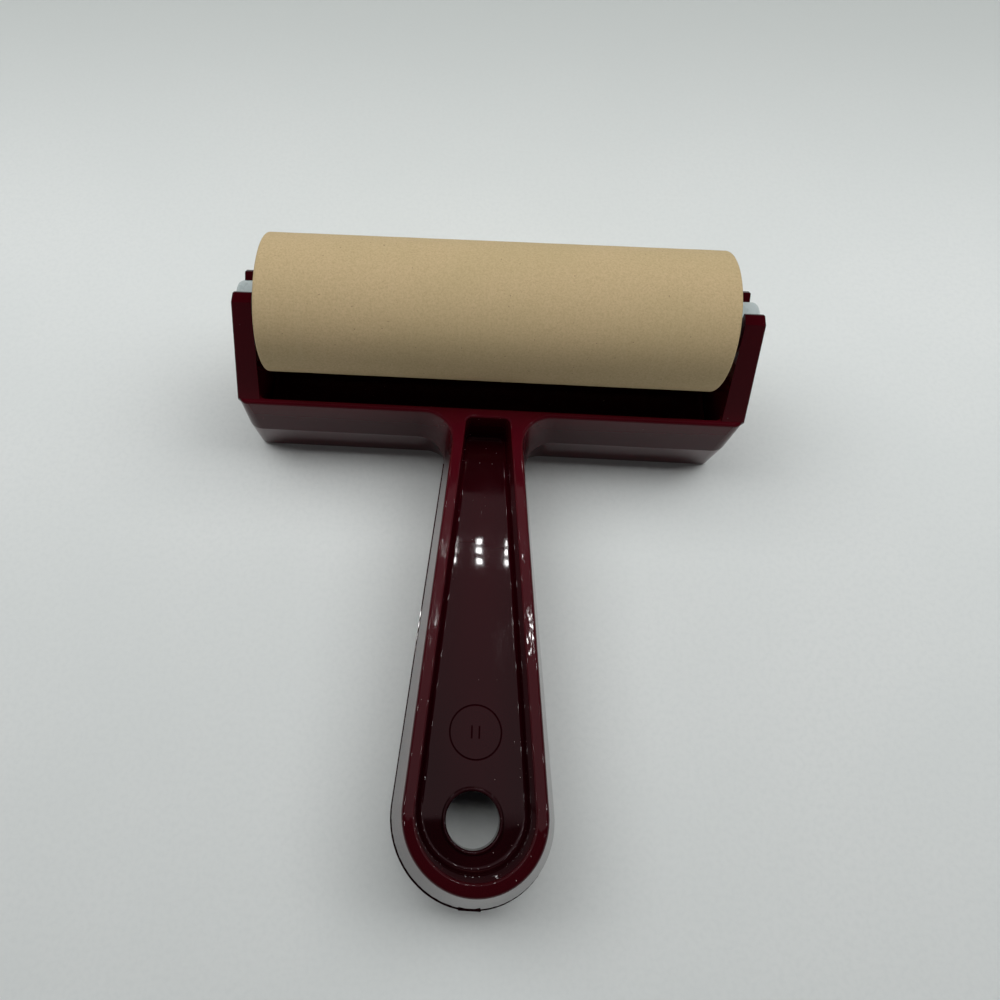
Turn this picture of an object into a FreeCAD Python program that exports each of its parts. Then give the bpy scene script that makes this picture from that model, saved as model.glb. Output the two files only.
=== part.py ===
"""Rubber brayer: a pop-in roller in a one-piece moulded frame, lying on its back.

Millimetres. The origin is at the middle of the footprint, on the table. +X runs along
the roller, +Y points from the handle to the roller, and +Z is up.
"""
import FreeCAD, Part
import math
import os

Vector = FreeCAD.Vector

# ---- Roller ----
ROLLER_LENGTH = 101.6
ROLLER_RADIUS = 15.6
ROLLER_OFFSET = -0.65
CORE_RADIUS = 11.0
CORE_BORE_RADIUS = 9.0
RUBBER_EDGE_RADIUS = 0.5

# ---- Hubs: a flange and a hollow spigot in the core, a shoulder and a journal outside ----
FLANGE_THICKNESS = 1.5
SPIGOT_LENGTH = 14.0
SPIGOT_WALL = 2.0
SHOULDER_RADIUS = 6.6
SHOULDER_END_X = 53.1
JOURNAL_RADIUS = 4.75
JOURNAL_END_X = 58.2
JOURNAL_EDGE_RADIUS = 0.9
JOURNAL_HOLE_RADIUS = 1.6
JOURNAL_HOLE_DEPTH = 5.0

# ---- Frame heights above the table ----
FRAME_HEIGHT = 25.8
PARTING_HEIGHT = FRAME_HEIGHT / 2
AXLE_HEIGHT = 37.7
FRONT_WALL_HEIGHT = 19.4
WEB_THICKNESS = 3.0

# ---- Frame plan: distances in Y are measured back from the axle ----
HANDLE_REACH = 122.45
BAR_FRONT = 2.6
BAR_BACK_TOP = 19.95
BAR_BACK_PARTING = 20.8
BAR_BACK_BOTTOM = 19.3
BAR_HALF_WIDTH_TOP = 59.05
BAR_HALF_WIDTH_PARTING = 59.6
BAR_HALF_WIDTH_BOTTOM = 58.9
BAR_CORNER_TOP = 2.5
BAR_CORNER_PARTING = 4.0
BAR_CORNER_BOTTOM = 1.8
BAR_FRONT_CORNER_RADIUS = 1.0
GUSSET_RADIUS = 7.0
HANDLE_END_RADIUS = 14.1
HANDLE_END_CENTRE = 104.45
HANDLE_TAPER = 0.079
PARTING_END_RADIUS = 16.9
PARTING_TAPER = 0.090
PARTING_RIDGE = 0.12
PARTING_RIDGE_HEIGHT = 0.3
GATE_WIDTH = 4.5
GATE_HEIGHT = 0.6
GATE_DEPTH = 1.0

# ---- Pockets ----
RIM_WIDTH = 2.5
POCKET_DRAFT = 0.4
POCKET_CORNER_RADIUS = 1.4
HANDLE_POCKET_START = 20.75
BAR_WALL = 1.2
FRONT_WALL = 1.8
FLOOR_FILLET = 0.9
RIM_INNER_RADIUS = 0.45
RIM_OUTER_RADIUS = 0.7

# ---- Hanging hole and the mould-insert mark on the handle's floor ----
HOLE_RADIUS = 5.5
HOLE_CENTRE = 106.2
LIP_WIDTH = 0.9
LIP_HEIGHT = 0.6
LIP_EDGE_RADIUS = 0.4
MARK_CENTRE = 89.2
MARK_RADIUS = 5.5
GROOVE_WIDTH = 0.36
GROOVE_DEPTH = 0.17
STROKE_LENGTH = 2.6
STROKE_SPACING = 1.6
EJECTOR_RADIUS = 2.5
EJECTOR_DEPTH = 0.15

# ---- Arms: u runs up the arm from the axle, v runs across it towards the front ----
ARM_ANGLE = math.radians(51.5)
ARM_INNER_X = 53.75
ARM_TIP_OUTER_X = 58.15
ARM_HALF_WIDTH = 7.4
ARM_EDGE_RADIUS = 0.5
CLIP_BORE_RADIUS = 4.8
CLIP_MOUTH_HALF = 4.3
BACK_JAW_TIP = 3.95
FRONT_JAW_TIP = 5.6
JAW_LEAD_IN = 0.8
BACK_JAW_CHAMFER = 1.7
FRONT_JAW_CORNER = 1.2
ARM_ROOT_DEPTH = 6.0

TOLERANCE = 0.01
AXLE_Y = (HANDLE_REACH + PARTING_RIDGE - ROLLER_RADIUS) / 2
TOP = FRAME_HEIGHT
WEB_TOP = PARTING_HEIGHT + WEB_THICKNESS / 2
WEB_BOTTOM = PARTING_HEIGHT - WEB_THICKNESS / 2
PARTING_END_CENTRE = HANDLE_REACH - PARTING_END_RADIUS


def polar(centre_x, centre_y, radius, angle, z):
    """A point on a circle that lies level at height z."""
    return Vector(centre_x + radius * math.cos(angle), centre_y + radius * math.sin(angle), z)


def mirror_x(point):
    return Vector(-point.x, point.y, point.z)


def closed_wire(steps):
    """Join steps into a wire: a point gives a straight run, a pair of points an arc."""
    first = steps[0]
    here = first
    edges = []
    for step in steps[1:] + [first]:
        if isinstance(step, tuple):
            edges.append(Part.Arc(here, step[0], step[1]).toShape())
            here = step[1]
        else:
            edges.append(Part.LineSegment(here, step).toShape())
            here = step
    return Part.Wire(edges)


def symmetric_wire(start, right_side, middle):
    """A wire that is the same left and right of X = 0.

    right_side is walked forwards, then the step middle is taken across X = 0, and the
    mirror image of right_side is walked back to the mirrored start.
    """
    steps = [start] + right_side + [middle]
    ends = [start] + [step[1] if isinstance(step, tuple) else step for step in right_side]
    for index in range(len(right_side) - 1, -1, -1):
        step = right_side[index]
        target = mirror_x(ends[index])
        steps.append((mirror_x(step[0]), target) if isinstance(step, tuple) else target)
    return closed_wire(steps)


def handle_outline(end_radius, end_centre, taper, z):
    """The angle and the straight side of a tapered handle with a round end."""
    angle = math.atan(taper)
    centre_y = AXLE_Y - end_centre

    def half_width(y):
        return end_radius / math.cos(angle) - taper * (y - centre_y)

    side_end = polar(0, centre_y, end_radius, angle, z)
    round_end = (Vector(0, centre_y - end_radius, z), mirror_x(side_end))
    return angle, half_width, side_end, round_end


def frame_outline(z, half_width, back, back_radius, end_radius, end_centre, taper):
    """The frame seen from above at one height: bar, gussets and handle."""
    front_y = AXLE_Y - BAR_FRONT
    back_y = AXLE_Y - back
    side_x = half_width
    front_radius = BAR_FRONT_CORNER_RADIUS
    angle, handle_half, side_end, round_end = handle_outline(end_radius, end_centre, taper, z)
    gusset_y = back_y - GUSSET_RADIUS
    gusset_x = handle_half(gusset_y) + GUSSET_RADIUS / math.cos(angle)
    start = Vector(side_x - front_radius, front_y, z)
    right_side = [
        (polar(side_x - front_radius, front_y - front_radius, front_radius, math.pi / 4, z),
         Vector(side_x, front_y - front_radius, z)),
        Vector(side_x, back_y + back_radius, z),
        (polar(side_x - back_radius, back_y + back_radius, back_radius, -math.pi / 4, z),
         Vector(side_x - back_radius, back_y, z)),
        Vector(gusset_x, back_y, z),
        (polar(gusset_x, gusset_y, GUSSET_RADIUS, (3 * math.pi / 2 + angle) / 2, z),
         polar(gusset_x, gusset_y, GUSSET_RADIUS, math.pi + angle, z)),
        side_end,
    ]
    return symmetric_wire(start, right_side, round_end)


def top_outline(z):
    return frame_outline(z, BAR_HALF_WIDTH_TOP, BAR_BACK_TOP, BAR_CORNER_TOP,
                         HANDLE_END_RADIUS, HANDLE_END_CENTRE, HANDLE_TAPER)


def parting_outline(z):
    return frame_outline(z, BAR_HALF_WIDTH_PARTING, BAR_BACK_PARTING, BAR_CORNER_PARTING,
                         PARTING_END_RADIUS, PARTING_END_CENTRE, PARTING_TAPER)


def bottom_outline(z):
    return frame_outline(z, BAR_HALF_WIDTH_BOTTOM, BAR_BACK_BOTTOM, BAR_CORNER_BOTTOM,
                         HANDLE_END_RADIUS, HANDLE_END_CENTRE, HANDLE_TAPER)


def handle_pocket_outline(z, inset):
    """The handle's recess at one height, inset from the rim's outer edge."""
    radius = HANDLE_END_RADIUS - inset
    angle, half_width, side_end, round_end = handle_outline(radius, HANDLE_END_CENTRE, HANDLE_TAPER, z)
    end_y = AXLE_Y - HANDLE_POCKET_START - (inset - RIM_WIDTH)
    corner = POCKET_CORNER_RADIUS
    corner_y = end_y - corner
    corner_x = half_width(corner_y) - corner / math.cos(angle)
    start = Vector(corner_x, end_y, z)
    right_side = [
        (polar(corner_x, corner_y, corner, (math.pi / 2 + angle) / 2, z),
         polar(corner_x, corner_y, corner, angle, z)),
        side_end,
    ]
    return symmetric_wire(start, right_side, round_end)


def bar_pocket_outline(z, inset, back):
    """The bar's recess at one height: a rectangle with rounded corners."""
    corner = POCKET_CORNER_RADIUS
    side_x = ARM_INNER_X
    front_y = AXLE_Y - BAR_FRONT - FRONT_WALL - inset
    back_y = AXLE_Y - back + BAR_WALL + inset
    start = Vector(side_x - corner, front_y, z)
    right_side = [
        (polar(side_x - corner, front_y - corner, corner, math.pi / 4, z),
         Vector(side_x, front_y - corner, z)),
        Vector(side_x, back_y + corner, z),
        (polar(side_x - corner, back_y + corner, corner, -math.pi / 4, z),
         Vector(side_x - corner, back_y, z)),
    ]
    return symmetric_wire(start, right_side, Vector(corner - side_x, back_y, z))


def loft(*wires):
    return Part.makeLoft(list(wires), True, True)


def level_edges(shape, z):
    """The edges that lie wholly at height z."""
    return [edge for edge in shape.Edges
            if abs(edge.BoundBox.ZMin - z) < TOLERANCE and abs(edge.BoundBox.ZMax - z) < TOLERANCE]


def edges_at_x(shape, x):
    """The edges that lie wholly at one place along X."""
    return [edge for edge in shape.Edges
            if abs(edge.BoundBox.XMin - x) < TOLERANCE and abs(edge.BoundBox.XMax - x) < TOLERANCE]


def pocket(rim_wire, floor_wire, floor_z):
    """A recess to cut away, with a rounded foot."""
    shape = loft(rim_wire, floor_wire)
    return shape.makeFillet(FLOOR_FILLET, level_edges(shape, floor_z))


def parting_ridge():
    """The sharp lip round the handle's left side and tip, where the mould's halves are out of line."""
    bottom = PARTING_HEIGHT - PARTING_RIDGE_HEIGHT / 2
    outline = parting_outline(bottom)
    outline.translate(Vector(-PARTING_RIDGE, -PARTING_RIDGE, 0))
    ridge = Part.Face(outline).extrude(Vector(0, 0, PARTING_RIDGE_HEIGHT))
    ridge_end_y = AXLE_Y - BAR_BACK_PARTING - GUSSET_RADIUS
    handle_only = Part.makeBox(2 * ARM_INNER_X, HANDLE_REACH, TOP,
                               Vector(-ARM_INNER_X, ridge_end_y - HANDLE_REACH, 0))
    return ridge.common(handle_only)


def gate_stub():
    """The flat left where the moulding was cut off its runner, at the tip of the handle."""
    tip_y = AXLE_Y - HANDLE_REACH - PARTING_RIDGE
    return Part.makeBox(GATE_WIDTH, GATE_DEPTH, GATE_HEIGHT,
                        Vector(-GATE_WIDTH / 2, tip_y, PARTING_HEIGHT - GATE_HEIGHT / 2))


def round_rims(shape, radius, half_width):
    """Round the rims behind the bar, above and below, that stay within half_width of the middle."""
    for height in (0, TOP):
        rim_edges = [edge for edge in level_edges(shape, height)
                     if edge.BoundBox.YMax < AXLE_Y - BAR_BACK_BOTTOM + TOLERANCE
                     and max(-edge.BoundBox.XMin, edge.BoundBox.XMax) < half_width + TOLERANCE]
        shape = shape.makeFillet(radius, rim_edges)
    return shape


def frame_shell():
    """The outer shape of the bar and handle, drafted both ways from the parting line."""
    upper = loft(parting_outline(PARTING_HEIGHT), top_outline(TOP))
    lower = loft(bottom_outline(0), parting_outline(PARTING_HEIGHT))
    shell = upper.fuse([lower, parting_ridge(), gate_stub()]).removeSplitter()
    shell = round_rims(shell, RIM_OUTER_RADIUS, BAR_HALF_WIDTH_PARTING)
    bar_middle_y = AXLE_Y - (BAR_FRONT + BAR_BACK_TOP) / 2
    front_gap = Part.makeBox(2 * ARM_INNER_X, BAR_BACK_TOP, TOP,
                             Vector(-ARM_INNER_X, bar_middle_y, FRONT_WALL_HEIGHT))
    return shell.cut(front_gap).removeSplitter()


def frame_pockets():
    """The recesses above and below the web."""
    floor_inset = RIM_WIDTH + POCKET_DRAFT
    return [
        pocket(handle_pocket_outline(TOP, RIM_WIDTH),
               handle_pocket_outline(WEB_TOP, floor_inset), WEB_TOP),
        pocket(handle_pocket_outline(0, RIM_WIDTH),
               handle_pocket_outline(WEB_BOTTOM, floor_inset), WEB_BOTTOM),
        pocket(bar_pocket_outline(TOP, 0, BAR_BACK_TOP),
               bar_pocket_outline(WEB_TOP, POCKET_DRAFT, BAR_BACK_TOP), WEB_TOP),
        pocket(bar_pocket_outline(0, 0, BAR_BACK_BOTTOM),
               bar_pocket_outline(WEB_BOTTOM, POCKET_DRAFT, BAR_BACK_BOTTOM), WEB_BOTTOM),
    ]


def arm_point(u, v, x):
    """A point given up the arm and across it."""
    y = AXLE_Y + u * math.cos(ARM_ANGLE) + v * math.sin(ARM_ANGLE)
    z = AXLE_HEIGHT + u * math.sin(ARM_ANGLE) - v * math.cos(ARM_ANGLE)
    return Vector(x, y, z)


def arm_point_at_height(v, z, x):
    """The point of the line v = constant at a height."""
    u = (z - AXLE_HEIGHT + v * math.cos(ARM_ANGLE)) / math.sin(ARM_ANGLE)
    return arm_point(u, v, x)


def along_arm(point):
    """How far up the arm a point lies."""
    return ((point.y - AXLE_Y) * math.cos(ARM_ANGLE)
            + (point.z - AXLE_HEIGHT) * math.sin(ARM_ANGLE))


def arm_outline(inner_x):
    """The arm seen from the end of the roller, with the open C of the clip at its tip."""
    mouth_u = math.sqrt(CLIP_BORE_RADIUS ** 2 - CLIP_MOUTH_HALF ** 2)
    edge = ARM_HALF_WIDTH
    lead = CLIP_MOUTH_HALF + JAW_LEAD_IN
    back_foot = arm_point_at_height(-edge, TOP, inner_x)
    front_foot = arm_point_at_height(edge, FRONT_WALL_HEIGHT, inner_x)
    root_z = FRONT_WALL_HEIGHT - ARM_ROOT_DEPTH
    return closed_wire([
        back_foot,
        arm_point(BACK_JAW_TIP - BACK_JAW_CHAMFER, -edge, inner_x),
        arm_point(BACK_JAW_TIP, -edge + BACK_JAW_CHAMFER, inner_x),
        arm_point(BACK_JAW_TIP, -lead, inner_x),
        arm_point(mouth_u, -CLIP_MOUTH_HALF, inner_x),
        (arm_point(-CLIP_BORE_RADIUS, 0, inner_x), arm_point(mouth_u, CLIP_MOUTH_HALF, inner_x)),
        arm_point(FRONT_JAW_TIP, lead, inner_x),
        arm_point(FRONT_JAW_TIP, edge - FRONT_JAW_CORNER, inner_x),
        arm_point(FRONT_JAW_TIP - FRONT_JAW_CORNER, edge, inner_x),
        front_foot,
        Vector(inner_x, front_foot.y, root_z),
        Vector(inner_x, back_foot.y + BAR_CORNER_TOP, root_z),
    ])


def arm(side):
    """One arm, thinner towards its tip. side is -1 or 1."""
    inner_x = side * ARM_INNER_X
    foot_u = along_arm(arm_point_at_height(-ARM_HALF_WIDTH, TOP, inner_x))
    taper = (BAR_HALF_WIDTH_TOP - ARM_TIP_OUTER_X) / (FRONT_JAW_TIP - foot_u)

    def outer_x(u):
        return ARM_TIP_OUTER_X + taper * (FRONT_JAW_TIP - u)

    def on_outer_face(edge):
        return all(abs(abs(vertex.X) - outer_x(along_arm(vertex.Point))) < TOLERANCE
                   for vertex in edge.Vertexes)

    across_v = 2 * ARM_HALF_WIDTH
    section = closed_wire([
        arm_point(2 * foot_u, -across_v, inner_x),
        arm_point(2 * foot_u, -across_v, side * outer_x(foot_u)),
        arm_point(foot_u, -across_v, side * outer_x(foot_u)),
        arm_point(FRONT_JAW_TIP, -across_v, side * outer_x(FRONT_JAW_TIP)),
        arm_point(FRONT_JAW_TIP, -across_v, inner_x),
    ])
    across = arm_point(0, across_v, 0) - arm_point(0, -across_v, 0)
    outline = arm_outline(inner_x)
    plate = Part.Face(outline).extrude(Vector(side * ARM_INNER_X, 0, 0))
    plate = plate.common(Part.Face(section).extrude(across))
    outer_edges = [edge for edge in plate.Edges
                   if on_outer_face(edge) and edge.BoundBox.ZMax > TOP + TOLERANCE]
    return plate.makeFillet(ARM_EDGE_RADIUS, outer_edges)


def upright_cylinder(radius, bottom, height, centre_back, x=0.0):
    return Part.makeCylinder(radius, height, Vector(x, AXLE_Y - centre_back, bottom))


def groove_section(x, y):
    """A diamond half sunk in the top of the web, to cut a groove with sloping sides."""
    half = GROOVE_WIDTH / 2
    return Part.Face(closed_wire([
        Vector(x - half, y, WEB_TOP),
        Vector(x, y, WEB_TOP + GROOVE_DEPTH),
        Vector(x + half, y, WEB_TOP),
        Vector(x, y, WEB_TOP - GROOVE_DEPTH),
    ]))


def mark_grooves():
    """A witness circle from a mould insert, with two plain strokes inside it."""
    centre_y = AXLE_Y - MARK_CENTRE
    ring = groove_section(MARK_RADIUS, centre_y).revolve(Vector(0, centre_y, 0), Vector(0, 0, 1), 360)
    strokes = [groove_section(side * STROKE_SPACING / 2, centre_y - STROKE_LENGTH / 2)
               .extrude(Vector(0, STROKE_LENGTH, 0)) for side in (-1, 1)]
    return [ring] + strokes


def ejector_marks():
    """Round marks left by the mould's ejector pins on the underside of the web."""
    along_bar = [(side * BAR_HALF_WIDTH_TOP * share, (BAR_FRONT + BAR_BACK_TOP) / 2)
                 for side in (-1, 1) for share in (0.3, 0.75)]
    along_handle = [(0, HANDLE_REACH * share) for share in (0.3, 0.5, 0.7)]
    return [upright_cylinder(EJECTOR_RADIUS, WEB_BOTTOM - 1, 1 + EJECTOR_DEPTH, back, x)
            for x, back in along_bar + along_handle]


def hole_lip():
    """The round bead that stands out above and below the web, around the hanging hole."""
    bottom = WEB_BOTTOM - LIP_HEIGHT
    height = WEB_THICKNESS + 2 * LIP_HEIGHT
    bead = upright_cylinder(HOLE_RADIUS + LIP_WIDTH, bottom, height, HOLE_CENTRE).cut(
        upright_cylinder(HOLE_RADIUS, bottom, height, HOLE_CENTRE))
    return bead.makeFillet(LIP_EDGE_RADIUS, level_edges(bead, bottom) + level_edges(bead, bottom + height))


def frame_moulding():
    """Handle, bar, arms and clips: one moulding."""
    body = frame_shell().cut(frame_pockets())
    body = round_rims(body, RIM_INNER_RADIUS, HANDLE_END_RADIUS - RIM_WIDTH)
    hole = upright_cylinder(HOLE_RADIUS, 0, TOP, HOLE_CENTRE)
    body = body.cut([hole] + mark_grooves() + ejector_marks())
    return body.fuse([hole_lip(), arm(-1), arm(1)])


def along_x(radius, start_x, end_x):
    """A cylinder on the axle line."""
    centre = Vector(min(start_x, end_x), AXLE_Y, AXLE_HEIGHT)
    return Part.makeCylinder(radius, abs(end_x - start_x), centre, Vector(1, 0, 0))


def roller_end(side):
    """Where the rubber ends. The tube sits a little to the left of the middle of its hubs."""
    return ROLLER_OFFSET + side * ROLLER_LENGTH / 2


def rubber_covering():
    left_x = roller_end(-1)
    right_x = roller_end(1)
    body = along_x(ROLLER_RADIUS, left_x, right_x)
    body = body.makeFillet(RUBBER_EDGE_RADIUS, edges_at_x(body, left_x) + edges_at_x(body, right_x))
    return body.cut(along_x(CORE_RADIUS, left_x, right_x))


def roller_core():
    left_x = roller_end(-1) + FLANGE_THICKNESS
    right_x = roller_end(1) - FLANGE_THICKNESS
    return along_x(CORE_RADIUS, left_x, right_x).cut(along_x(CORE_BORE_RADIUS, left_x, right_x))


def hub(side):
    """An end plug: hollow spigot, flange, shoulder and journal. side is -1 or 1."""
    face_x = roller_end(side)
    flange_x = face_x - side * FLANGE_THICKNESS
    spigot_x = flange_x - side * SPIGOT_LENGTH
    shoulder_x = side * SHOULDER_END_X
    journal_x = side * JOURNAL_END_X
    journal = along_x(JOURNAL_RADIUS, face_x, journal_x)
    journal = journal.makeFillet(JOURNAL_EDGE_RADIUS, edges_at_x(journal, journal_x))
    body = journal.fuse([
        along_x(SHOULDER_RADIUS, face_x, shoulder_x),
        along_x(CORE_RADIUS, flange_x, face_x),
        along_x(CORE_BORE_RADIUS, spigot_x, flange_x),
    ])
    hollow = along_x(CORE_BORE_RADIUS - SPIGOT_WALL, spigot_x, flange_x)
    end_hole = along_x(JOURNAL_HOLE_RADIUS, journal_x - side * JOURNAL_HOLE_DEPTH, journal_x)
    return body.cut([hollow, end_hole])


NODES = {
    "frame_moulding": frame_moulding,
    "rubber_covering": rubber_covering,
    "roller_core": roller_core,
    "hub_left": lambda: hub(-1),
    "hub_right": lambda: hub(1),
}

os.makedirs("parts", exist_ok=True)
for name, build in NODES.items():
    solid = build().removeSplitter()
    print(name, solid.isValid(), len(solid.Solids), round(solid.Volume, 1))
    solid.exportStep("parts/" + name + ".step")
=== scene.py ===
"""The rubber brayer's looks: materials, the ground rubber, light and camera.

Everything is in metres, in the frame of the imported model: X runs along the roller, Y from
the handle to the roller, and Z up from the table.
"""

import math

import bpy
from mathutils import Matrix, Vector, noise


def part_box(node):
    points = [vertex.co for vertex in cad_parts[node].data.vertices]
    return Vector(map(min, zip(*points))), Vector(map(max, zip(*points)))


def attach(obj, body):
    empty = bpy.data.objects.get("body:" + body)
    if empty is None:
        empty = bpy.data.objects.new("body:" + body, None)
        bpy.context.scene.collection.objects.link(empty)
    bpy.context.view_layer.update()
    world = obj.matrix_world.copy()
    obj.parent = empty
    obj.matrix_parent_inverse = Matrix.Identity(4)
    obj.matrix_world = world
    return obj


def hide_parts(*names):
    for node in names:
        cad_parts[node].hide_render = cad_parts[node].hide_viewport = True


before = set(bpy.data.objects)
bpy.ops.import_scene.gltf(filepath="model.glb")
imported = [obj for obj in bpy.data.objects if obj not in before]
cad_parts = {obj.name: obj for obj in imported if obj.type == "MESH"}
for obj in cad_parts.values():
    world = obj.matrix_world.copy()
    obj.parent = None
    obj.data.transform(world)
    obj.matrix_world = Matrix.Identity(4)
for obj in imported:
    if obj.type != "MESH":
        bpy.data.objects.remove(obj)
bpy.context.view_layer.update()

MM = 0.001

# ---- Camera: above the handle, turned towards the roller ----
CAMERA_PLACE = Vector((-7.62, -41.5, 184.1)) * MM
CAMERA_TURN = tuple(math.radians(angle) for angle in (21.617, 0.478, 3.284))
CAMERA_LENS = 27.04
CAMERA_SENSOR = 36.0
CAMERA_SHIFT = (0.0684, -0.0385)

# ---- Light tent: broad lights for the matte surfaces, a card and small lights for the gloss ----
TENT_HEIGHT = 500 * MM
LIGHTS_Y = 188 * MM
LIGHTS_DEPTH = 324 * MM
LIGHTS_COLOUR = (1.0, 1.0, 0.985)
KEY_WIDTH = 300 * MM
KEY_RADIANCE = 2.4
WING_WIDTH = 400 * MM
WING_RADIANCE = 4.0
CARD_PLACE = (0.0, 52 * MM, TENT_HEIGHT + 5 * MM)
CARD_SIZE = (620 * MM, 275 * MM)
CARD_RADIANCE = 0.33
LED_SIZE = 4.5 * MM
LED_RADIANCE = 75.0
LED_COLOUR = (0.66, 1.0, 0.94)
LED_COLUMNS = (-3 * MM, 20 * MM, 45 * MM)
LED_ROWS = (124.5 * MM, 134 * MM, 142 * MM)
OUTER_LED_COLUMNS = (-29 * MM, 67 * MM)
OUTER_LED_ROWS = (46 * MM, 56 * MM, 66 * MM, 76 * MM)
STRIP_SIDE = 230 * MM
STRIP_HEIGHT = 420 * MM
STRIP_START = -120 * MM
STRIP_SPACING = 33 * MM
STRIP_COUNT = 12
STRIP_LED_LENGTH = 11 * MM

# ---- Tent walls: colours, and the stretches of a direction's Y or Z over which they blend ----
WALL_COLOUR = (0.50, 0.52, 0.51)
FRONT_COLOUR = (0.54, 0.52, 0.50)
ROOF_COLOUR = (0.022, 0.022, 0.024)
GROUND_COLOUR = (0.36, 0.37, 0.37)
FRONT_BLEND = (-0.85, -0.1)
ROOF_BLEND = (0.12, 0.55)
GROUND_BLEND = (-0.05, 0.02)

# ---- Table: painted shade makes it darker towards its far side, and it is faded out far from the brayer ----
TABLE_SIZE = 2.4
TABLE_GAP = 0.05 * MM
TABLE_FAR_SIDE = (70 * MM, 235 * MM)
TABLE_EDGE = (400 * MM, 1000 * MM)
TABLE_GREY = (0.765, 0.80, 0.80)
TABLE_PALE_GREY = (0.79, 0.82, 0.82)
TABLE_MOTTLE = (0.73, 0.765, 0.768)
# Painted shade: the darker grey that the table's far side is given.
TABLE_FAR_SHADE = (0.52, 0.55, 0.545)

# ---- Frame plastic: where its look changes along Y and with height, with painted light towards the bar and on the rims and painted shade in the bar's pit. These looks are tuned, not known ----
# Painted light: along this stretch of Y the plastic's colour grows lighter and redder towards the bar.
PAINTED_LIGHT_STRETCH = (-60 * MM, 26 * MM)
RIM_HEIGHTS = (17 * MM, 25 * MM)
BAR_BACK = (25 * MM, 27.5 * MM)
PARTING_HEIGHTS = (12.6 * MM, 13.2 * MM)
# Painted shade: past this stretch of Y the bar's pit keeps only a share of the painted light and of the
# dust, so it stays dark.
PIT_EDGE = (33 * MM, 37 * MM)
PIT_SHADE = 0.3
PIT_DUST = 0.2
UPPER_BACK_SPECULAR = 0.12
FRAME_SPECULAR = 0.5
FRAME_TINT = (1.0, 0.66, 0.70)
MAROON_DARK = (0.0105, 0.0005, 0.0014)
MAROON_DULL = (0.014, 0.0008, 0.0020)
# The next colour is the lighter web colour that carries the painted light towards the bar.
MAROON_LIT = (0.034, 0.0012, 0.0036)
# The two rim colours are lighter than the web: painted light on the rims.
RIM_LIT_MAROON = (0.030, 0.0011, 0.0030)
RIM_LIT_RED = (0.060, 0.0022, 0.0060)
DUST_COLOUR = (0.42, 0.34, 0.32)
DUST_COVER = 0.8
DUST_ROUGHNESS = 0.6
HAIRLINE_ROUGHNESS = 0.10

# ---- Rubber ----
RUBBER_TAN = (0.525, 0.405, 0.232)
RUBBER_WARM_TAN = (0.555, 0.42, 0.246)
RUBBER_GRAIN = (0.41, 0.32, 0.17)
RUBBER_PITS = (0.31, 0.235, 0.12)
RUBBER_RINGS = (0.58, 0.47, 0.29)
FILLER_COLOUR = (0.14, 0.09, 0.05)
FILLER_COVER = 0.6
RUBBER_STEPS_AROUND = 320
RUBBER_STEPS_ALONG = 260
RUBBER_EDGE = 0.5 * MM
RUBBER_EDGE_STEPS = 6
RUBBER_WAVE = 0.03 * MM
RUBBER_WAVE_SIZE = 6 * MM
RUBBER_END_HOLLOW = 0.06 * MM

# ---- Hubs and core ----
HUB_WHITE = (0.44, 0.50, 0.51)
HUB_PALE_WHITE = (0.49, 0.55, 0.56)
HUB_SCUFFS = (0.48, 0.50, 0.50)
HUB_SPECKS = (0.22, 0.18, 0.16)
SCUFF_COVER = 0.25
SCUFF_ROUGHNESS = 0.2
SPECK_COVER = 0.5
HUB_LIGHT_DEPTH = 0.8 * MM
CORE_GREY = (0.60, 0.61, 0.60)
CORE_PALE_GREY = (0.68, 0.69, 0.68)
CORE_MARKS = (0.42, 0.42, 0.41)

# ---- A Mix node's colour sockets, by number because their names aren't unique ----
MIX_SHARE = 0
MIX_FIRST = 6
MIX_SECOND = 7
MIX_RESULT = 2


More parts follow.
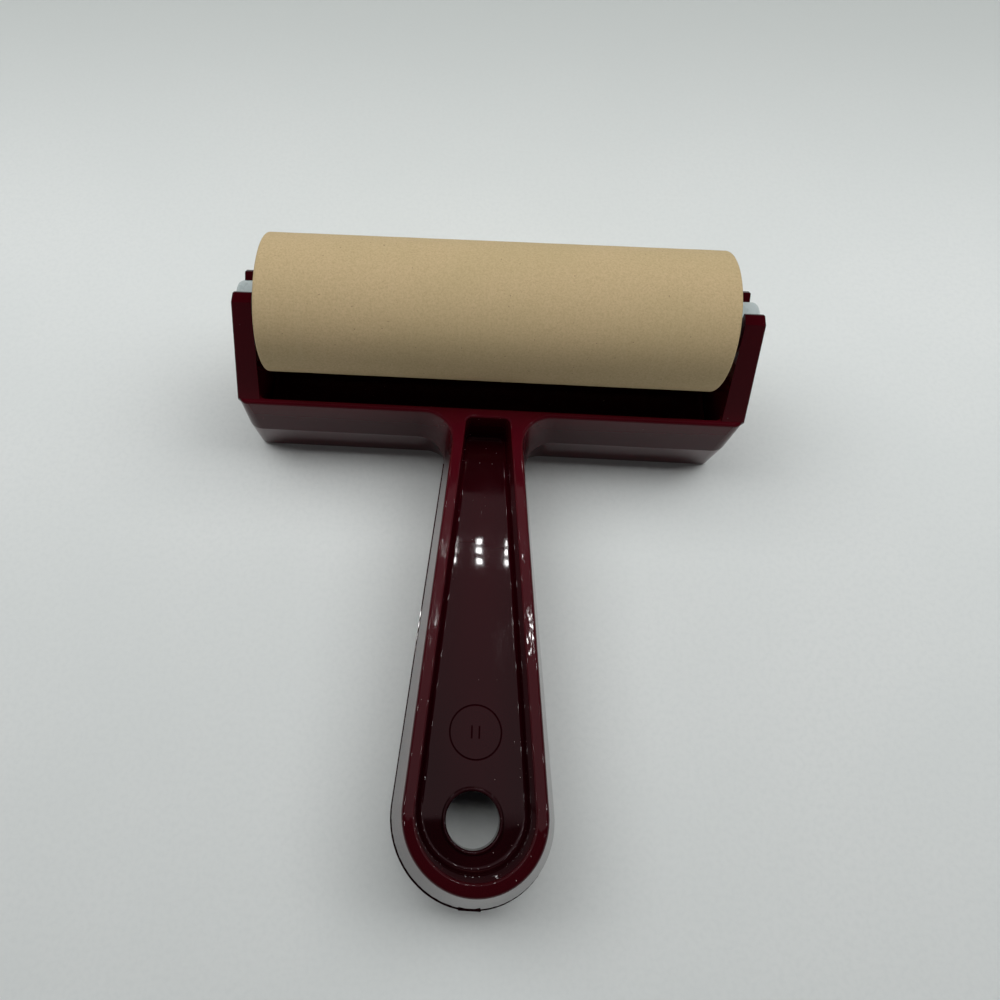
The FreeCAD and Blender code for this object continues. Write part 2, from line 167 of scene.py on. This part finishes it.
class Graph:
    """A node tree, with short calls for the nodes that the materials and the world share."""

    def __init__(self, owner, place):
        owner.use_nodes = True
        self.owner = owner
        self.tree = owner.node_tree
        self.place = self.node("ShaderNodeTexCoord").outputs[place]

    def node(self, kind, **settings):
        made = self.tree.nodes.new(kind)
        for name, value in settings.items():
            setattr(made, name, value)
        return made

    def put(self, socket, value):
        """Link an output to a socket, or set the socket's own value."""
        if isinstance(value, bpy.types.NodeSocket):
            self.tree.links.new(value, socket)
        elif socket.type == "RGBA":
            socket.default_value = (*value, 1.0)
        else:
            socket.default_value = value

    def surface(self, **values):
        """Fill the shader's sockets, named with underscores for spaces, and give back the material."""
        shader = self.tree.nodes["Principled BSDF"]
        for name, value in values.items():
            self.put(shader.inputs[name.replace("_", " ")], value)
        return self.owner

    def moved(self, scale, turn=(0.0, 0.0, 0.0)):
        """The place, scaled and then turned. A small scale draws a noise out along that axis."""
        mapping = self.node("ShaderNodeMapping")
        self.put(mapping.inputs["Vector"], self.place)
        self.put(mapping.inputs["Rotation"], turn)
        self.put(mapping.inputs["Scale"], scale)
        return mapping.outputs["Vector"]

    def noise(self, size, detail, place=None, distortion=0.0):
        """Smooth noise whose patches are about size metres across."""
        made = self.node("ShaderNodeTexNoise")
        self.put(made.inputs["Vector"], place or self.place)
        self.put(made.inputs["Scale"], 1 / size)
        self.put(made.inputs["Detail"], detail)
        self.put(made.inputs["Distortion"], distortion)
        return made.outputs["Fac"]

    def specks(self, cell, size, share):
        """Round specks of about size metres, one in some of the cells of cell metres."""
        cells = self.node("ShaderNodeTexVoronoi")
        self.put(cells.inputs["Vector"], self.place)
        self.put(cells.inputs["Scale"], 1 / cell)
        radius = size / cell / 2
        soft_edge = 0.7 * radius
        round_spots = self.span(cells.outputs["Distance"], soft_edge, radius, 1.0, 0.0)
        chosen = self.node("ShaderNodeSeparateColor")
        self.put(chosen.inputs["Color"], cells.outputs["Color"])
        return self.maths("MULTIPLY", round_spots, self.maths("LESS_THAN", chosen.outputs["Red"], share))

    def maths(self, operation, first, second):
        made = self.node("ShaderNodeMath", operation=operation)
        self.put(made.inputs[0], first)
        self.put(made.inputs[1], second)
        return made.outputs[0]

    def span(self, value, low, high, to_low=0.0, to_high=1.0):
        """Stretch the range low to high over to_low to to_high, and hold it there."""
        made = self.node("ShaderNodeMapRange", interpolation_type="SMOOTHSTEP")
        self.put(made.inputs["Value"], value)
        for name, number in (("From Min", low), ("From Max", high), ("To Min", to_low), ("To Max", to_high)):
            self.put(made.inputs[name], number)
        return made.outputs["Result"]

    def ramp(self, axis, stretch, to_low=0.0, to_high=1.0):
        """Go from to_low to to_high over a stretch of the X, Y or Z axis."""
        parts = self.node("ShaderNodeSeparateXYZ")
        self.put(parts.inputs["Vector"], self.place)
        return self.span(parts.outputs[axis], *stretch, to_low, to_high)

    def mix(self, share, first, second):
        made = self.node("ShaderNodeMix", data_type="RGBA")
        self.put(made.inputs[MIX_SHARE], share)
        self.put(made.inputs[MIX_FIRST], first)
        self.put(made.inputs[MIX_SECOND], second)
        return made.outputs[MIX_RESULT]

    def coats(self, colour, *coats):
        """Lay coats, each a share and a colour, over a colour."""
        for share, coat in coats:
            colour = self.mix(share, colour, coat)
        return colour

    def relief(self, *bumps):
        """Bumps, each a height from 0 to 1 and the metres that 1 stands for, laid over each other."""
        normal = None
        for height, depth in bumps:
            made = self.node("ShaderNodeBump")
            self.put(made.inputs["Strength"], 1.0)
            self.put(made.inputs["Distance"], depth)
            self.put(made.inputs["Height"], height)
            if normal:
                self.put(made.inputs["Normal"], normal)
            normal = made.outputs["Normal"]
        return normal


def material_graph(name):
    return Graph(bpy.data.materials.new(name), "Object")


def maroon(graph, rim):
    """Dark maroon with painted light: lighter and redder towards the bar and on the rims, with painted shade
    in the bar's pit.
    """
    # Painted light growing towards the bar, cut back in the bar's pit as painted shade.
    painted_light = graph.maths("MULTIPLY", graph.ramp("Y", PAINTED_LIGHT_STRETCH),
                          graph.ramp("Y", PIT_EDGE, to_low=1.0, to_high=PIT_SHADE))
    flow = graph.noise(size=30 * MM, detail=2.0, distortion=1.5)
    dull = graph.mix(graph.span(flow, low=0.35, high=0.65), MAROON_DARK, MAROON_DULL)
    web = graph.mix(painted_light, dull, MAROON_LIT)
    # Painted light: the rims take lighter colours.
    return graph.mix(rim, web, graph.mix(painted_light, RIM_LIT_MAROON, RIM_LIT_RED))


def dust(graph):
    """Fine dust in drifts and a few larger grains, with less of both in the bar's pit, as painted shade that
    keeps the pit dark.
    """
    drifts = graph.span(graph.noise(size=18 * MM, detail=2.0), low=0.48, high=0.60)
    fine = graph.maths("MULTIPLY", graph.specks(cell=1.3 * MM, size=0.22 * MM, share=0.40), drifts)
    grains = graph.maths("MAXIMUM", fine, graph.specks(cell=7 * MM, size=0.42 * MM, share=0.25))
    # Painted shade: fewer specks in the bar's pit.
    return graph.maths("MULTIPLY", grains, graph.ramp("Y", PIT_EDGE, to_low=1.0, to_high=PIT_DUST))


def frame_plastic():
    """Dark maroon plastic from a polished mould, with handling marks and dust."""
    graph = material_graph("maroon_plastic")
    rim = graph.ramp("Z", RIM_HEIGHTS)
    grit = dust(graph)
    smear = graph.span(graph.noise(size=14 * MM, detail=5.0, distortion=0.8), low=0.50, high=0.72)
    cloud = graph.noise(size=6 * MM, detail=4.0)
    drawn_out = graph.moved(scale=(1.0, 0.04, 1.0), turn=(0.0, 0.0, 0.5))
    hairlines = graph.span(graph.noise(size=0.5 * MM, detail=2.0, place=drawn_out), low=0.70, high=0.76)
    waves = graph.noise(size=9 * MM, detail=1.0)
    ripples = graph.noise(size=1.7 * MM, detail=2.0, place=graph.moved(scale=(1.0, 0.3, 1.0)))
    polish = graph.maths("ADD", graph.span(smear, 0.0, 1.0, to_low=0.025, to_high=0.075),
                         graph.span(cloud, low=0.3, high=0.7, to_high=0.015))
    scratched = graph.maths("ADD", polish, graph.maths("MULTIPLY", hairlines, HAIRLINE_ROUGHNESS))
    upper_back = graph.maths("MULTIPLY", graph.ramp("Y", BAR_BACK), graph.ramp("Z", PARTING_HEIGHTS))
    return graph.surface(
        Base_Color=graph.mix(graph.maths("MULTIPLY", grit, DUST_COVER), maroon(graph, rim), DUST_COLOUR),
        Roughness=graph.maths("MAXIMUM", scratched, graph.maths("MULTIPLY", grit, DUST_ROUGHNESS)),
        Normal=graph.relief((waves, 0.016 * MM), (graph.maths("MULTIPLY", ripples, rim), 0.02 * MM),
                            (hairlines, -0.0012 * MM), (grit, 0.03 * MM)),
        IOR=1.52,
        Specular_IOR_Level=graph.span(upper_back, 0.0, 1.0, FRAME_SPECULAR, UPPER_BACK_SPECULAR),
        Specular_Tint=FRAME_TINT)


def roller_rubber():
    """Tan rubber, ground matte: fine grain, small pits, faint grinding rings and filler specks."""
    graph = material_graph("ground_rubber")
    patches = graph.noise(size=22 * MM, detail=3.0)
    grain = graph.noise(size=0.45 * MM, detail=6.0)
    pits = graph.noise(size=0.22 * MM, detail=2.0)
    rings = graph.noise(size=0.8 * MM, detail=2.0, place=graph.moved(scale=(1.0, 0.03, 0.03)))
    filler = graph.maths("MAXIMUM", graph.specks(cell=1.9 * MM, size=0.30 * MM, share=0.50),
                         graph.specks(cell=9 * MM, size=0.5 * MM, share=0.40))
    colour = graph.coats(
        graph.mix(graph.span(patches, low=0.35, high=0.65), RUBBER_TAN, RUBBER_WARM_TAN),
        (graph.span(grain, low=0.25, high=0.80, to_high=0.65), RUBBER_GRAIN),
        (graph.span(pits, low=0.56, high=0.72, to_high=0.4), RUBBER_PITS),
        (graph.span(rings, low=0.55, high=0.75, to_high=0.12), RUBBER_RINGS),
        (graph.maths("MULTIPLY", filler, FILLER_COVER), FILLER_COLOUR))
    return graph.surface(
        Base_Color=colour,
        Roughness=graph.span(grain, low=0.3, high=0.7, to_low=0.72, to_high=0.9),
        Normal=graph.relief((grain, 0.055 * MM), (pits, 0.02 * MM),
                            (rings, 0.008 * MM), (filler, -0.05 * MM)),
        IOR=1.5,
        Specular_IOR_Level=0.25)


def hub_plastic():
    """White moulded plastic that lets a little light in, scuffed where it turns."""
    graph = material_graph("white_plastic")
    cloud = graph.noise(size=5 * MM, detail=4.0)
    around = graph.moved(scale=(1.0, 0.08, 0.08))
    scuffs = graph.span(graph.noise(size=0.5 * MM, detail=2.0, place=around), low=0.60, high=0.75)
    specks = graph.specks(cell=2 * MM, size=0.2 * MM, share=0.2)
    colour = graph.coats(
        graph.mix(graph.span(cloud, low=0.3, high=0.7), HUB_WHITE, HUB_PALE_WHITE),
        (graph.maths("MULTIPLY", scuffs, SCUFF_COVER), HUB_SCUFFS),
        (graph.maths("MULTIPLY", specks, SPECK_COVER), HUB_SPECKS))
    return graph.surface(
        Base_Color=colour,
        Roughness=graph.maths("ADD", graph.span(cloud, low=0.3, high=0.7, to_low=0.26, to_high=0.36),
                              graph.maths("MULTIPLY", scuffs, SCUFF_ROUGHNESS)),
        Normal=graph.relief((cloud, 0.01 * MM), (scuffs, -0.004 * MM)),
        IOR=1.5,
        Subsurface_Weight=0.15,
        Subsurface_Radius=(1.0, 1.0, 1.0),
        Subsurface_Scale=HUB_LIGHT_DEPTH)


def core_plastic():
    """The stiff tube under the rubber: plain pale plastic with lathe marks."""
    graph = material_graph("pale_tube_plastic")
    cloud = graph.noise(size=8 * MM, detail=3.0)
    lathe_marks = graph.noise(size=0.4 * MM, detail=2.0, place=graph.moved(scale=(1.0, 0.02, 0.02)))
    pale = graph.mix(graph.span(cloud, low=0.3, high=0.7), CORE_GREY, CORE_PALE_GREY)
    return graph.surface(
        Base_Color=graph.mix(graph.span(lathe_marks, low=0.5, high=0.8, to_high=0.2), pale, CORE_MARKS),
        Roughness=graph.span(lathe_marks, low=0.3, high=0.7, to_low=0.5, to_high=0.7),
        Normal=graph.relief((lathe_marks, 0.01 * MM)),
        IOR=1.5)


def table_surface():
    """The tent's pale cool-grey floor, faintly mottled, with painted shade darkening its far side."""
    graph = material_graph("tent_floor")
    clouds = graph.noise(size=60 * MM, detail=3.0)
    mottle = graph.noise(size=1.2 * MM, detail=3.0)
    distance = graph.node("ShaderNodeVectorMath", operation="LENGTH")
    graph.put(distance.inputs[0], graph.place)
    colour = graph.coats(
        graph.mix(graph.span(clouds, low=0.3, high=0.7), TABLE_GREY, TABLE_PALE_GREY),
        (graph.span(mottle, low=0.35, high=0.75, to_high=0.5), TABLE_MOTTLE),
        # Painted shade: darker towards the far side.
        (graph.ramp("Y", TABLE_FAR_SIDE), TABLE_FAR_SHADE))
    return graph.surface(
        Base_Color=colour,
        Roughness=0.9,
        Normal=graph.relief((mottle, 0.02 * MM)),
        Specular_IOR_Level=0.15,
        Alpha=graph.span(distance.outputs["Value"], *TABLE_EDGE, to_low=1.0, to_high=0.0))


def led_glow():
    graph = material_graph("led_glow")
    graph.tree.nodes.remove(graph.tree.nodes["Principled BSDF"])
    glow = graph.node("ShaderNodeEmission")
    graph.put(glow.inputs["Color"], LED_COLOUR)
    graph.put(glow.inputs["Strength"], LED_RADIANCE)
    graph.put(graph.tree.nodes["Material Output"].inputs["Surface"], glow.outputs["Emission"])
    return graph.owner


def dress(node, material):
    """Give a CAD node its material."""
    node.data.materials.clear()
    node.data.materials.append(material)


def new_object(name, points, faces, material):
    mesh = bpy.data.meshes.new(name)
    mesh.from_pydata(points, [], faces)
    mesh.update()
    mesh.materials.append(material)
    made = bpy.data.objects.new(name, mesh)
    bpy.context.scene.collection.objects.link(made)
    return made


def rubber_profile(left_x, right_x, radius, bore):
    """Places along X and radii, once round the tube's section from bore to bore."""
    def edge(face_x, inward):
        """The rounded edge, from the cylinder to the end face."""
        for step in range(RUBBER_EDGE_STEPS + 1):
            angle = math.pi / 2 * step / RUBBER_EDGE_STEPS
            yield (face_x + inward * RUBBER_EDGE * (1 - math.sin(angle)),
                   radius - RUBBER_EDGE * (1 - math.cos(angle)))

    face_middle = (bore + radius) / 2
    run_start = left_x + RUBBER_EDGE
    run = right_x - left_x - 2 * RUBBER_EDGE
    left_face = [(left_x, bore), (left_x + RUBBER_END_HOLLOW, face_middle)]
    left_edge = list(edge(left_x, 1))[::-1]
    along = [(run_start + run * step / RUBBER_STEPS_ALONG, radius) for step in range(1, RUBBER_STEPS_ALONG)]
    right_edge = list(edge(right_x, -1))
    right_face = [(right_x - RUBBER_END_HOLLOW, face_middle), (right_x, bore)]
    return left_face + left_edge + along + right_edge + right_face


def rubber_points(profile, centre, radius, bore):
    """One ring of points for each place in the profile. The waves grow from the bore to the outside."""
    for x, distance in profile:
        for step in range(RUBBER_STEPS_AROUND):
            angle = 2 * math.pi * step / RUBBER_STEPS_AROUND
            outward = Vector((0, math.cos(angle), math.sin(angle)))
            point = Vector((x, centre.y, centre.z)) + outward * distance
            wave = (1 + noise.noise(point / RUBBER_WAVE_SIZE)) / 2
            yield point - outward * RUBBER_WAVE * wave * (distance - bore) / (radius - bore)


def ring_faces(rings):
    """Join each ring of points to the next one, and the last to the first."""
    for ring in range(rings):
        here = ring * RUBBER_STEPS_AROUND
        there = (ring + 1) % rings * RUBBER_STEPS_AROUND
        for step in range(RUBBER_STEPS_AROUND):
            after = (step + 1) % RUBBER_STEPS_AROUND
            yield (here + step, here + after, there + after, there + step)


def rubber_skin(material):
    """The ground rubber tube, very slightly uneven, in the place of its CAD solid."""
    low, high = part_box("rubber_covering")
    core_low, core_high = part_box("roller_core")
    radius = (high.z - low.z) / 2
    bore = (core_high.z - core_low.z) / 2
    profile = rubber_profile(low.x, high.x, radius, bore)
    points = list(rubber_points(profile, (low + high) / 2, radius, bore))
    skin = new_object("rubber_skin", points, list(ring_faces(len(profile))), material)
    skin.data.shade_smooth()
    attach(skin, "roller")
    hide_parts("rubber_covering")


def table(material):
    half = TABLE_SIZE / 2
    corners = [(x, y, -TABLE_GAP) for x, y in ((-half, -half), (half, -half), (half, half), (-half, half))]
    made = new_object("table", corners, [(0, 1, 2, 3)], material)


def panel(name, place, size, radiance, colour=(1.0, 1.0, 1.0), matte=True, shiny=True):
    """A flat light that faces down. It lights matte surfaces, shows in shiny ones, or both."""
    light = bpy.data.lights.new(name, "AREA")
    light.shape = "RECTANGLE"
    light.size, light.size_y = size
    light.energy = radiance * math.pi * size[0] * size[1]
    light.color = colour
    made = bpy.data.objects.new(name, light)
    made.location = place
    made.visible_diffuse = matte
    made.visible_glossy = shiny
    made.visible_camera = False
    bpy.context.scene.collection.objects.link(made)


def tent_lights():
    """The key with a wing on each side of it, for matte surfaces, and the roof card, for shiny ones."""
    wing_x = (KEY_WIDTH + WING_WIDTH) / 2
    for name, x, width, radiance in (("key", 0.0, KEY_WIDTH, KEY_RADIANCE),
                                     ("wing_left", -wing_x, WING_WIDTH, WING_RADIANCE),
                                     ("wing_right", wing_x, WING_WIDTH, WING_RADIANCE)):
        panel(name, (x, LIGHTS_Y, TENT_HEIGHT), (width, LIGHTS_DEPTH), radiance, LIGHTS_COLOUR, shiny=False)
    panel("roof_card", CARD_PLACE, CARD_SIZE, CARD_RADIANCE, matte=False)


def leds():
    """The tent's small bright lights, in its roof and along its sides, seen only in shiny surfaces."""
    roof = [(x, y, TENT_HEIGHT, LED_SIZE)
            for columns, rows in ((LED_COLUMNS, LED_ROWS), (OUTER_LED_COLUMNS, OUTER_LED_ROWS))
            for x in columns for y in rows]
    sides = [(side * STRIP_SIDE, STRIP_START + step * STRIP_SPACING, STRIP_HEIGHT, STRIP_LED_LENGTH)
             for side in (-1, 1) for step in range(STRIP_COUNT)]
    points = [(x + across * width / 2, y + along * LED_SIZE / 2, z)
              for x, y, z, width in roof + sides
              for across, along in ((-1, -1), (1, -1), (1, 1), (-1, 1))]
    faces = [tuple(range(start, start + 4)) for start in range(0, len(points), 4)]
    made = new_object("tent_leds", points, faces, led_glow())
    made.visible_camera = False
    made.visible_diffuse = False
    made.visible_shadow = False


def tent_walls():
    """The world: bright walls, a front of its own colour, a dark roof and a grey ground."""
    world = bpy.data.worlds.new("tent")
    bpy.context.scene.world = world
    graph = Graph(world, "Generated")
    walls = graph.mix(graph.ramp("Y", FRONT_BLEND), FRONT_COLOUR, WALL_COLOUR)
    upper = graph.mix(graph.ramp("Z", ROOF_BLEND), walls, ROOF_COLOUR)
    whole = graph.mix(graph.ramp("Z", GROUND_BLEND), GROUND_COLOUR, upper)
    graph.put(graph.tree.nodes["Background"].inputs["Color"], whole)


def camera():
    lens = bpy.data.cameras.new("camera")
    lens.sensor_fit = "HORIZONTAL"
    lens.sensor_width = CAMERA_SENSOR
    lens.lens = CAMERA_LENS
    lens.shift_x, lens.shift_y = CAMERA_SHIFT
    lens.clip_start = MM
    made = bpy.data.objects.new("camera", lens)
    made.location = CAMERA_PLACE
    made.rotation_euler = CAMERA_TURN
    bpy.context.scene.collection.objects.link(made)
    bpy.context.scene.camera = made


dress(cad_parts["frame_moulding"], frame_plastic())
dress(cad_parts["roller_core"], core_plastic())
white = hub_plastic()
for hub in ("hub_left", "hub_right"):
    dress(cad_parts[hub], white)
rubber_skin(roller_rubber())
table(table_surface())
tent_walls()
tent_lights()
leds()
camera()
bpy.context.scene.view_settings.view_transform = "Standard"
